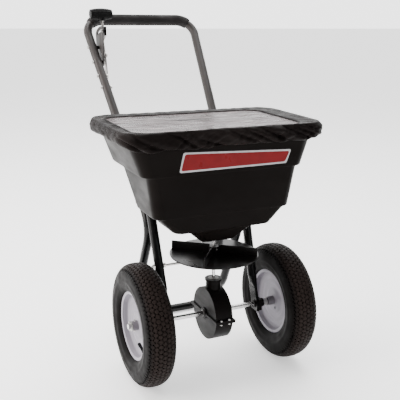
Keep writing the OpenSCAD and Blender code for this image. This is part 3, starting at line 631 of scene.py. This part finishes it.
HOPPER_LOW, HOPPER_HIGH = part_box("hopper")
WALL = 4
SHAFT_HOLE_R = 10.05
PORT_R = 9
PORT_REACH = 27
OUTLET = HOPPER_LOW.z / MM
RIM = HOPPER_HIGH.z / MM
RIM_HALF = HOPPER_HIGH.x / MM
# Height, half width, front, back and corner radius of the hopper's outside at each step of its
# wall, from the bottom up, in millimetres
HOPPER_LINE = [
    (OUTLET, 50, -34, 46, 20),
    (421, 92, -54, 52, 24),
    (424, 138, -60, 56, 18),
    (467, 182, -63, 72, 22),
    (468, 195, -63.6, 82, 24),
    (577, 213, -69, 150, 26),
    (578, 227, -69.6, 188, 28),
    (RIM - 15, 263, -74, 208, 42),
]
HOPPER_LIP = [
    (RIM - 14, RIM_HALF - 1, -83, 217, 48),
    (RIM - 8, RIM_HALF, -84, 218, 48),
    (RIM, RIM_HALF - 2, -82, 216, 47),
    (RIM, 266, -77, 211, 44),
]
# How far from each step the rounding of its edge starts, outside going up and inside going down
OUTSIDE_ROUNDING = [10, 4, 8, 5, 9, 5, 4, 2, 3, 2]
INSIDE_ROUNDING = [5, 5, 5, 5, 4, 4]


def oblong(z, half_x, front, back, radius, straight=10, corner=9):
    """Closed ring round a rounded rectangle in millimetres, given in metres. It starts in the
    middle of the right side and turns anticlockwise."""
    corners = [(half_x - radius, back - radius, 0), (-half_x + radius, back - radius, 90),
               (-half_x + radius, front + radius, 180), (half_x - radius, front + radius, 270)]
    ring = []
    for k, (x, y, start) in enumerate(corners):
        for i in range(corner + 1):
            a = math.radians(start + 90 * i / corner)
            ring.append((x + radius * math.cos(a), y + radius * math.sin(a)))
        nx, ny, n_start = corners[(k + 1) % 4]
        a = math.radians(n_start)
        end = (nx + radius * math.cos(a), ny + radius * math.sin(a))
        begin = ring[-1]
        for i in range(1, straight):
            t = i / straight
            ring.append((begin[0] + (end[0] - begin[0]) * t, begin[1] + (end[1] - begin[1]) * t))
    return [mm(x, y, z) for x, y in ring]


def pulled_in(level, lift):
    """A level of the hopper's inside, one wall's thickness in from the outside."""
    z, half_x, front, back, radius = level
    return z + lift, half_x - WALL, front + WALL, back - WALL, max(radius - WALL, 4)


def make_hopper():
    """Moulded hopper: stacked blocks with rounded ledges, a turned-out lip and an open top."""
    outside = rounded(HOPPER_LINE + HOPPER_LIP, OUTSIDE_ROUNDING, 5)
    inside_levels = [pulled_in(level, WALL) for level in reversed(HOPPER_LINE[:-1])]
    inside = rounded([pulled_in(HOPPER_LINE[-1], 2 * WALL)] + inside_levels, INSIDE_ROUNDING)
    rings = [oblong(*level) for level in outside + inside]
    hopper = new_mesh("moulded_hopper", *loops(rings, capped=True))
    holes = [(0, 0, SHAFT_HOLE_R)]
    for angle in (45, 90, 135):
        a = math.radians(angle)
        holes.append((PORT_REACH * math.cos(a), PORT_REACH * math.sin(a), PORT_R))
    cutters = []
    for x, y, radius in holes:
        ends = [mm(x, y, OUTLET - 3), mm(x, y, OUTLET + 8)]
        cutters.append(rod_cutter(ends, Vector((1, 0, 0)), Vector((0, 1, 0)), radius * MM, 32))
    cut_out(hopper, cutters)
    dress(hopper, "hopper_plastic", "frame", "hopper", sharp=50)


make_hopper()


def front_y(z):
    """Y of the hopper's upper front face at a height, in millimetres."""
    (z0, _, y0, _, _), (z1, _, y1, _, _) = HOPPER_LINE[6], HOPPER_LINE[7]
    return y0 + (y1 - y0) * (z - z0) / (z1 - z0)


# Name, distance in from the stripe's edge, height off the hopper and colour of its two layers
STRIPE_LAYERS = [
    ("border", 0, 0.25, (0.42, 0.41, 0.42)),
    ("field", 4.5, 0.45, (0.15, 0.0045, 0.006)),
]


def make_stripe():
    """Plain slanted stripe on the hopper's front: a red field in a white border, no lettering."""
    left, right = -136, 172
    bottom, top_left, top_right = 586, 637, 624
    slant = 12

    def corner_points(edge):
        return [(left + edge + slant * 0.2, bottom + edge), (right - edge, bottom + edge + 1.5),
                (right + slant - edge, top_right - edge), (left + slant + edge, top_left - edge)]

    def outline(edge):
        """The stripe's outline, its four corners rounded."""
        radius, steps = 6, 5
        corners = [Vector(p) for p in corner_points(edge)]
        points = []
        for k, corner in enumerate(corners):
            before = (corners[k - 1] - corner).normalized() * radius
            after = (corners[(k + 1) % 4] - corner).normalized() * radius
            for i in range(steps + 1):
                t = i / steps
                points.append(corner + before * (1 - t) ** 2 + after * t * t)
        return points

    for name, edge, lift, colour in STRIPE_LAYERS:
        rings = [[mm(p.x, front_y(p.y) + depth, p.y) for p in outline(edge)] for depth in (0.3, -lift)]
        stripe = new_mesh(f"stripe_{name}", *loops(rings, capped=True), smooth=False)
        ink = Surface(f"stripe_{name}", colour, 0.45, specular=0.1)
        ink.tint(ink.noise(40, 5), [c * 0.86 for c in colour])
        ink.uneven(ink.noise(30, 4), 0.25, 0.45)
        ink.bump(ink.noise(300, 3), 0.00003)
        stripe.data.materials.append(ink.material)
        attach(stripe, "frame")


make_stripe()

# ------------------------------------------------------------------ cover

WINDOW_LOW, WINDOW_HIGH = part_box("cover_window")
# The window's seam, from the edges of the CAD's window, in millimetres
SEAM_LEFT = WINDOW_LOW.x / MM - 6
SEAM_RIGHT = WINDOW_HIGH.x / MM - 13
SEAM_FRONT = WINDOW_LOW.y / MM - 8
SEAM_BACK = WINDOW_HIGH.y / MM - 9
SEAM_CORNER = 34
CLOTH_THICK = 1.1 * MM
FILM_THICK = 0.5 * MM
# The hem's section: height above the rim and distance out from it, both in millimetres, and how
# much the folds move it
HEM_LINE = [
    (-34, 1.5, 0.2),
    (-39, 4, 0.5),
    (-39, 9, 0.9),
    (-32, 12.5, 1.0),
    (-21, 12.5, 1.0),
    (-11, 12, 0.9),
    (-3, 10, 0.6),
    (1.5, 7.5, 0.3),
    (2.6, 5, 0.15),
]


def fine_oblong(z, left, right, front, back, radius):
    """Like oblong, with its own left and right and more points."""
    middle = (left + right) / 2
    ring = oblong(z, (right - left) / 2, front, back, radius, straight=90, corner=16)
    return [p + mm(middle, 0, 0) for p in ring]


def pleat(value):
    """A gather from a noise value: round crest, sharp valley."""
    return abs(value) * 2 - 0.5


def seam_line(height, inset):
    """The opening's edge, that far out from the window. Its front wanders with the gathers."""
    line = fine_oblong(RIM + height, SEAM_LEFT - inset, SEAM_RIGHT + inset,
                       SEAM_FRONT - min(inset, 2), SEAM_BACK + inset, SEAM_CORNER + inset)
    middle = (SEAM_FRONT + SEAM_BACK) / 2 * MM
    for p in line:
        front = max(0.0, (middle - p.y) / (middle - SEAM_FRONT * MM)) ** 4
        wander = 5 * soft_noise(p.x * 14, 5.0, 1.0) + 3 * pleat(soft_noise(p.x * 26, 2.0, 7.0))
        p.y += front * (4 + wander) * MM
    return line


def fold(p, normal, z, move):
    """Where gathers push a point of the hem: along its outward normal and up or down. They are
    deep and slanted in front, a frill at the back and shallow at the ends. The two front
    corners stand out a little more, and the ends hang less low."""
    x, y = p.x / MM, p.y / MM
    front = max(0.0, -normal.y) ** 1.5
    back = max(0.0, normal.y) ** 2
    ends = max(0.0, 1 - front - back)
    corner = max(0.0, -2 * normal.y * abs(normal.x))
    crowd = 0.9 + 1.4 * abs(soft_noise(x / 90, y / 90, 6.0))
    long_fold = pleat(soft_noise((x + 2.3 * z) / 50, y / 50, 1.7))
    cross_fold = pleat(soft_noise((x - 1.5 * z) / 30, (y + 0.4 * z) / 40, 4.1))
    small_fold = pleat(soft_noise((x + 1.1 * z) / 13, (y + 0.4 * z) / 20, 8.3))
    frill = math.sin(x / 6.2 + 2.4 * soft_noise(x / 55, 2.0, 4.0))
    out = front * crowd * (11.0 * long_fold + 3.6 * cross_fold + 1.6 * small_fold)
    out += back * (1.6 * frill + 1.5 * cross_fold)
    out += ends * (2.2 * long_fold + 1.0 * cross_fold + 0.4 * small_fold)
    out += 4.5 * corner
    droop = soft_noise(x / 75 + 3, y / 75, 0.4) * 2
    down = front * (4.0 * droop - 2.2 * long_fold) + back * 2.6 * frill + ends * 2.0 * droop
    lift = ends * max(0.0, -z) * 0.25
    return normal * out * move * MM + mm(0, 0, down * move + lift)


def make_cover():
    """Cloth cap with an elastic hem: a rolled, gathered skirt and a flat top round the window."""
    _, half, front, back, corner = HOPPER_LIP[1]
    rings = []
    for z, out, move in rounded(HEM_LINE, 4):
        ring = fine_oblong(RIM + z, -half - out, half + out, front - out, back + out, corner + out)
        folded = []
        for k, p in enumerate(ring):
            before, after = ring[k - 1], ring[(k + 1) % len(ring)]
            normal = (after - before).cross(UP).normalized()
            folded.append(p + fold(p, normal, z, move))
        rings.append(folded)
    last = rings[-1]
    seam = seam_line(2.2, 0)
    steps = 10
    for k in range(1, steps + 1):
        t = k / steps
        hang = math.sin(math.pi * t)
        ring = []
        for a, b in zip(last, seam):
            p = a.lerp(b, t)
            wide = min(1.0, (a - b).length / (30 * MM))
            gather = 2.4 * pleat(soft_noise(p.x * 24, p.y * 24, 3.0))
            pucker = soft_noise(p.x * 70, p.y * 70, 9.0)
            ring.append(p + mm(0, 0, hang * wide * (gather + pucker - 0.6)))
        rings.append(ring)
    cover = new_mesh("cloth_cover", *loops(rings))
    thick = cover.modifiers.new("cloth", "SOLIDIFY")
    thick.thickness = CLOTH_THICK
    thick.offset = 0
    return dress(cover, "cover_fabric", "lid", "cover_band", sharp=80)


def make_window():
    """Vinyl panel sewn under the opening's edge: it sags a little and has long creases."""
    tucked_in, tucked_in_front = 3, 1.5
    left, right = (SEAM_LEFT - tucked_in) * MM, (SEAM_RIGHT + tucked_in) * MM
    front, back = (SEAM_FRONT - tucked_in_front) * MM, (SEAM_BACK + tucked_in) * MM
    across, deep = 120, 90
    rows = []
    for j in range(deep + 1):
        v = j / deep
        row = []
        for i in range(across + 1):
            u = i / across
            x, y = left + (right - left) * u, front + (back - front) * v
            loose = min(1.0, 7 * min(u, 1 - u), 7 * min(v, 1 - v))
            sag = 3.5 * math.sin(math.pi * u) * math.sin(math.pi * v)
            skew = y + 0.12 * x
            wave = 1.6 * soft_noise(x * 6, skew * 34, 2.0)
            crease = 1.3 * pleat(soft_noise(x * 9, skew * 58, 5.0))
            row.append(Vector((x, y, (RIM + 1.3 - sag + loose * (wave + crease)) * MM)))
        rows.append(row)
    window = new_mesh("vinyl_window", *loops(rows, closed=False))
    thick = window.modifiers.new("film", "SOLIDIFY")
    thick.thickness = FILM_THICK
    return dress(window, "window_film", "lid", "cover_window", sharp=80)


# Place along a stitch, from -1 to 1, and radius of each of its rings
STITCH_RINGS = [(-1, 0.15), (-0.7, 0.45), (0.7, 0.45), (1, 0.15)]


def make_stitches():
    """Two rows of thread beside the window's seam."""
    row_insets = (3.5, 7.5)
    parts = []
    for inset in row_insets:
        line = seam_line(3.2, inset)
        for a, b in zip(line, line[1:] + line[:1]):
            way = (b - a).normalized()
            side = way.cross(UP)
            middle, half = (a + b) / 2, (b - a).length * 0.34
            rings = [circle(middle + way * half * reach, side, UP, radius * MM, 6)
                     for reach, radius in STITCH_RINGS]
            parts.append(loops(rings, capped=True))
    thread = new_mesh("seam_thread", *joined(parts))
    dress(thread, "cover_fabric", "lid")


cover = make_cover()
window = make_window()
make_stitches()

# ------------------------------------------------------------------ grips

FOAM_R = 17 * MM
FOAM_BORE_R = 12.9 * MM
BAR_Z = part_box("foam_grip")[1].z - FOAM_R
HANDLE_SLOPE = 0.8426
HANDLE_SPREAD = 0.0953
BAR_Y = 571 * MM
BAR_HALF = 183 * MM
BEND_R = 53.5 * MM


def handle_at(drop):
    """A point of the right handle tube's line, that far below the crossbar."""
    return Vector((BAR_HALF - drop * HANDLE_SPREAD, BAR_Y - drop * HANDLE_SLOPE, BAR_Z - drop))


def bend_points(a, b, c, radius, start, end, steps):
    """Points round the bend at b, from share start to share end of it."""
    u, v = (b - a).normalized(), (c - b).normalized()
    angle = u.angle(v)
    inward = (v - u * u.dot(v)).normalized()
    centre = b - u * radius * math.tan(angle / 2) + inward * radius
    path = []
    for k in range(steps + 1):
        t = angle * (start + (end - start) * k / steps)
        path.append(centre - inward * radius * math.cos(t) + u * radius * math.sin(t))
    return path


def tube_rings(path, radius_at):
    """Rings round a path, each at right angles to it. They start from one fixed direction, so
    that the skin doesn't twist."""
    no_twist = Vector((0, 0.6, -0.8))
    rings = []
    for k, p in enumerate(path):
        way = (path[min(k + 1, len(path) - 1)] - path[max(k - 1, 0)]).normalized()
        across = way.cross(no_twist).normalized()
        up = across.cross(way)
        rings.append(circle(p, across, up, radius_at(k / (len(path) - 1)), 28))
    return rings


def make_foam_grip():
    """Foam sleeve on the crossbar and the nearer half of each bend, its ends eased in a little."""
    low, top = handle_at(0.3), handle_at(0)
    other_low, other_top = (Vector((-p.x, p.y, p.z)) for p in (low, top))
    angle = (top - low).angle(other_top - top)
    share = math.radians(45) / angle
    first = bend_points(low, top, other_top, BEND_R, 1 - share, 1, 12)
    last = bend_points(top, other_top, other_low, BEND_R, 0, share, 12)
    middle = [first[-1].lerp(last[0], k / 30) for k in range(1, 30)]
    path = first + middle + last
    eased_share = 2.2 / len(path)

    def radius_at(t):
        edge = min(t, 1 - t) / eased_share
        eased = 1 - 0.10 * max(0.0, 1 - edge) ** 2
        return (FOAM_R + 0.22 * MM * soft_noise(t * 21, 1.0, 1.0)) * eased

    outside = tube_rings(path, radius_at)
    inside = tube_rings(path, lambda t: FOAM_BORE_R)
    grip = new_mesh("foam_sleeve", *loops(outside + inside[::-1], returning=True))
    dress(grip, "foam", "frame", "foam_grip", sharp=60)


# Distance along and radius, in millimetres, of the T grip's stem and of a valve cap
STEM_PROFILE = [(4, 10.5), (14, 10.5), (17, 9.4), (22, 9.4), (24, 8.4)]
CAP_PROFILE = [(0, 3.95), (0, 4.3), (1, 4.5), (9, 4.4), (10.4, 4.0), (10.6, 3.0)]


def drawn_in(ring, middle):
    """A smaller copy of a ring about the same middle, to end a piece with a flat face."""
    return [middle + (p - middle) * 0.8 for p in ring]


def make_t_grip():
    """Fluted barrel grip, fat in the middle, with flat ends and a stem."""
    low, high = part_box("t_grip")
    lean = math.radians(25.8)
    right = Vector((1, 0, 0))
    half = (high.x - low.x) / 2
    end_r, swell = 12, 5.5
    radius = (end_r + swell) * MM
    centre = Vector(((low.x + high.x) / 2, high.y - radius, high.z - radius))
    flutes, around, along = 14, 112, 28
    rings = []
    for k in range(along + 1):
        u = 2 * k / along - 1
        body = end_r + swell * math.cos(math.radians(u * 80)) ** 0.7
        cut = 1.3 * max(0.0, 1 - (abs(u) / 0.9) ** 6)
        ring = []
        for i in range(around):
            a = 2 * math.pi * i / around
            groove = max(0.0, math.cos(a * flutes)) ** 3
            r = (body - cut * groove) * MM
            ring.append(centre + Vector((u * half, -r * math.sin(a), r * math.cos(a))))
        rings.append(ring)
    left_face = drawn_in(rings[0], centre - right * half)
    right_face = drawn_in(rings[-1], centre + right * half)
    barrel = loops([left_face] + rings + [right_face], capped=True)
    down = Vector((0, -math.sin(lean), -math.cos(lean)))
    stem_rings = [circle(centre + down * reach * MM, right, down.cross(right), r * MM, 40)
                  for reach, r in STEM_PROFILE]
    grip = new_mesh("fluted_grip", *joined([barrel, loops(stem_rings, capped=True)]))
    dress(grip, "grip_rubber", "lever_arm", "t_grip", sharp=45)


make_foam_grip()
make_t_grip()

# ------------------------------------------------------------------ small parts


def make_valve_caps():
    """Ribbed dust cap on the free end of each valve stem."""
    ribs = 12
    onto_stem = 2 * MM
    mounts = {mount["name"]: mount for mount in frame["record"]["mounts"]}
    for side, body in WHEELS.items():
        mount = mounts[f"valve_stem_{side}"]
        way = Vector(mount["axis"]).normalized()
        across = way.cross(Vector((1, 0, 0))).normalized()
        up = way.cross(across)
        start = Vector(mount["pos_m"]) + way * onto_stem
        rings = []
        for reach, r in CAP_PROFILE:
            ring = []
            for i in range(48):
                a = 2 * math.pi * i / 48
                rib = 0.25 * max(0, math.cos(a * ribs)) if 0.5 < reach < 10 else 0
                outward = across * math.cos(a) + up * math.sin(a)
                ring.append(start + (way * reach + outward * (r + rib)) * MM)
            rings.append(ring)
        cap = new_mesh(f"valve_cap_{side}", *loops(rings, capped=True))
        dress(cap, "tube_rubber", body)


make_valve_caps()


def finish_cad_nodes():
    """Each CAD node that still shows gets its slot's material and smooth round faces."""
    slots = {s["node"]: s["material_slot"] for s in frame["record"]["subparts"]}
    for name, node in frame["nodes"].items():
        if node.hide_render:
            continue
        node.data.materials.clear()
        node.data.materials.append(MATERIALS[slots[name]])
        node.data.polygons.foreach_set("use_smooth", [True] * len(node.data.polygons))
        node.data.set_sharp_from_angle(angle=math.radians(32))


finish_cad_nodes()
make_camera()
make_studio()
